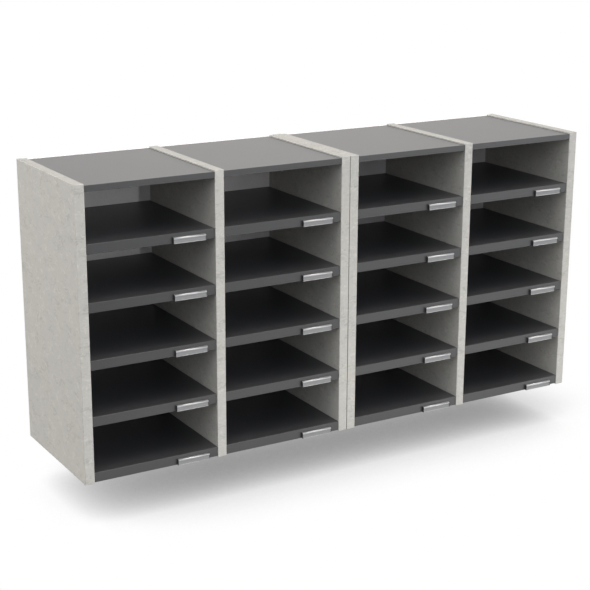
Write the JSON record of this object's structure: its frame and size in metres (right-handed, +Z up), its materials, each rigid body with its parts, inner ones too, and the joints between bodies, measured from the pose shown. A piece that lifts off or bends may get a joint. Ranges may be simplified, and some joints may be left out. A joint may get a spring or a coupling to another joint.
{
  "type": "pigeonhole mail sorter",
  "caption": "Wide open-fronted sorter of light uprights and dark boards, with rows of pigeonholes for papers, loose draw-out shelves and a curved label holder under each hole.",
  "frame": {"origin": "bottom centre of the whole sorter, on the surface that the uprights stand on", "axes": "+X along the columns to the right seen from the front, +Y from the open fronts to the back, +Z up"},
  "size_m": [1.1716, 0.3012, 0.5795],
  "materials": {
    "light_board": "pale warm grey melamine with a fine mottled, lightly streaked texture, satin",
    "dark_board": "anthracite melamine, fine pearl texture, satin",
    "back_sheet": "pale grey lacquered hardboard, smooth inside and finely meshed behind",
    "satin_metal": "satin anodised, lightly brushed along its length",
    "plated_steel": "nickel plated"
  },
  "bodies": {
    "case": {"module_1_left_side": "light_board", "module_1_divider_1": "light_board", "module_1_right_side": "light_board", "module_1_back": "back_sheet", "module_2_left_side": "light_board", "module_2_divider_1": "light_board", "module_2_right_side": "light_board", "module_2_back": "back_sheet", "column_1_top": "dark_board", "column_1_base": "dark_board", "column_1_label_5": "satin_metal", "column_2_top": "dark_board", "column_2_base": "dark_board", "column_2_label_5": "satin_metal", "column_3_top": "dark_board", "column_3_base": "dark_board", "column_3_label_5": "satin_metal", "column_4_top": "dark_board", "column_4_base": "dark_board", "column_4_label_5": "satin_metal", "connector_1_1_sleeve": "plated_steel", "connector_1_1_screw": "plated_steel", "connector_1_2_sleeve": "plated_steel", "connector_1_2_screw": "plated_steel"},
    "loose_shelf_1_1": {"column_1_shelf_1": "dark_board", "column_1_label_1": "satin_metal"},
    "loose_shelf_1_2": {"column_1_shelf_2": "dark_board", "column_1_label_2": "satin_metal"},
    "loose_shelf_1_3": {"column_1_shelf_3": "dark_board", "column_1_label_3": "satin_metal"},
    "loose_shelf_1_4": {"column_1_shelf_4": "dark_board", "column_1_label_4": "satin_metal"},
    "loose_shelf_2_1": {"column_2_shelf_1": "dark_board", "column_2_label_1": "satin_metal"},
    "loose_shelf_2_2": {"column_2_shelf_2": "dark_board", "column_2_label_2": "satin_metal"},
    "loose_shelf_2_3": {"column_2_shelf_3": "dark_board", "column_2_label_3": "satin_metal"},
    "loose_shelf_2_4": {"column_2_shelf_4": "dark_board", "column_2_label_4": "satin_metal"},
    "loose_shelf_3_1": {"column_3_shelf_1": "dark_board", "column_3_label_1": "satin_metal"},
    "loose_shelf_3_2": {"column_3_shelf_2": "dark_board", "column_3_label_2": "satin_metal"},
    "loose_shelf_3_3": {"column_3_shelf_3": "dark_board", "column_3_label_3": "satin_metal"},
    "loose_shelf_3_4": {"column_3_shelf_4": "dark_board", "column_3_label_4": "satin_metal"},
    "loose_shelf_4_1": {"column_4_shelf_1": "dark_board", "column_4_label_1": "satin_metal"},
    "loose_shelf_4_2": {"column_4_shelf_2": "dark_board", "column_4_label_2": "satin_metal"},
    "loose_shelf_4_3": {"column_4_shelf_3": "dark_board", "column_4_label_3": "satin_metal"},
    "loose_shelf_4_4": {"column_4_shelf_4": "dark_board", "column_4_label_4": "satin_metal"}
  },
  "joints": [
    {"name": "draw_shelf_1_1", "type": "slide", "parent": "case", "child": "loose_shelf_1_1", "axis": [0, -1, 0], "range_m": [0, 0.285]},
    {"name": "draw_shelf_1_2", "type": "slide", "parent": "case", "child": "loose_shelf_1_2", "axis": [0, -1, 0], "range_m": [0, 0.285]},
    {"name": "draw_shelf_1_3", "type": "slide", "parent": "case", "child": "loose_shelf_1_3", "axis": [0, -1, 0], "range_m": [0, 0.285]},
    {"name": "draw_shelf_1_4", "type": "slide", "parent": "case", "child": "loose_shelf_1_4", "axis": [0, -1, 0], "range_m": [0, 0.285]},
    {"name": "draw_shelf_2_1", "type": "slide", "parent": "case", "child": "loose_shelf_2_1", "axis": [0, -1, 0], "range_m": [0, 0.285]},
    {"name": "draw_shelf_2_2", "type": "slide", "parent": "case", "child": "loose_shelf_2_2", "axis": [0, -1, 0], "range_m": [0, 0.285]},
    {"name": "draw_shelf_2_3", "type": "slide", "parent": "case", "child": "loose_shelf_2_3", "axis": [0, -1, 0], "range_m": [0, 0.285]},
    {"name": "draw_shelf_2_4", "type": "slide", "parent": "case", "child": "loose_shelf_2_4", "axis": [0, -1, 0], "range_m": [0, 0.285]},
    {"name": "draw_shelf_3_1", "type": "slide", "parent": "case", "child": "loose_shelf_3_1", "axis": [0, -1, 0], "range_m": [0, 0.285]},
    {"name": "draw_shelf_3_2", "type": "slide", "parent": "case", "child": "loose_shelf_3_2", "axis": [0, -1, 0], "range_m": [0, 0.285]},
    {"name": "draw_shelf_3_3", "type": "slide", "parent": "case", "child": "loose_shelf_3_3", "axis": [0, -1, 0], "range_m": [0, 0.285]},
    {"name": "draw_shelf_3_4", "type": "slide", "parent": "case", "child": "loose_shelf_3_4", "axis": [0, -1, 0], "range_m": [0, 0.285]},
    {"name": "draw_shelf_4_1", "type": "slide", "parent": "case", "child": "loose_shelf_4_1", "axis": [0, -1, 0], "range_m": [0, 0.285]},
    {"name": "draw_shelf_4_2", "type": "slide", "parent": "case", "child": "loose_shelf_4_2", "axis": [0, -1, 0], "range_m": [0, 0.285]},
    {"name": "draw_shelf_4_3", "type": "slide", "parent": "case", "child": "loose_shelf_4_3", "axis": [0, -1, 0], "range_m": [0, 0.285]},
    {"name": "draw_shelf_4_4", "type": "slide", "parent": "case", "child": "loose_shelf_4_4", "axis": [0, -1, 0], "range_m": [0, 0.285]}
  ]
}
